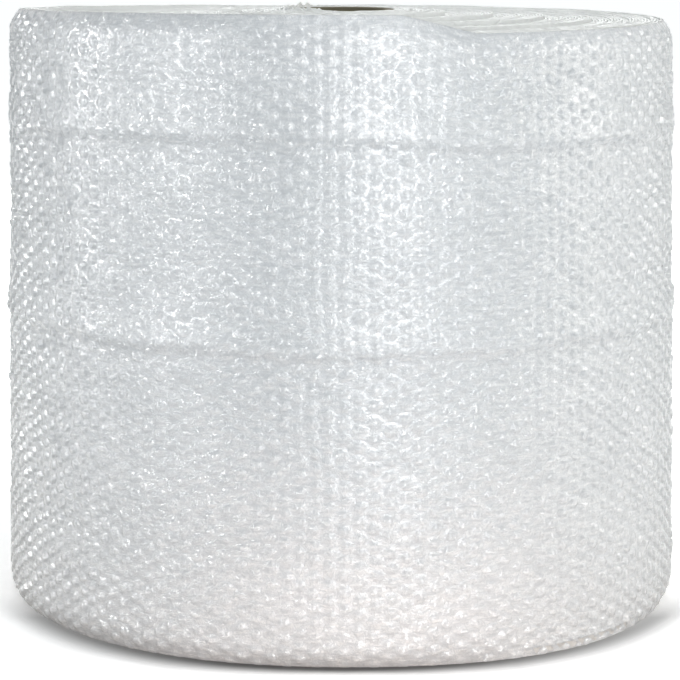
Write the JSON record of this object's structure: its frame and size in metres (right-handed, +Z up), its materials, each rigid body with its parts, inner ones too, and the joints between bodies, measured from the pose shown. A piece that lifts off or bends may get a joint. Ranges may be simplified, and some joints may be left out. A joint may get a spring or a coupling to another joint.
{
  "type": "bubble wrap roll",
  "caption": "Wide roll of clear bubble wrap wound bubbles outward on a cardboard tube, standing on end, with slightly slid outer turns.",
  "frame": {"origin": "centre of the foot of the roll, on the floor it stands on", "axes": "+Z up along the axis of the roll and its tube, -Y towards the front shown in the picture"},
  "size_m": [0.5916, 0.5936, 0.516],
  "materials": {
    "film": "clear polyethylene bubble film, many layers deep, so milky with small glints",
    "greyboard": "spiral-wound grey cardboard tube, bare paper"
  },
  "bodies": {
    "root": {"bubble_wrap": "film", "cardboard_core": "greyboard"}
  },
  "joints": []
}
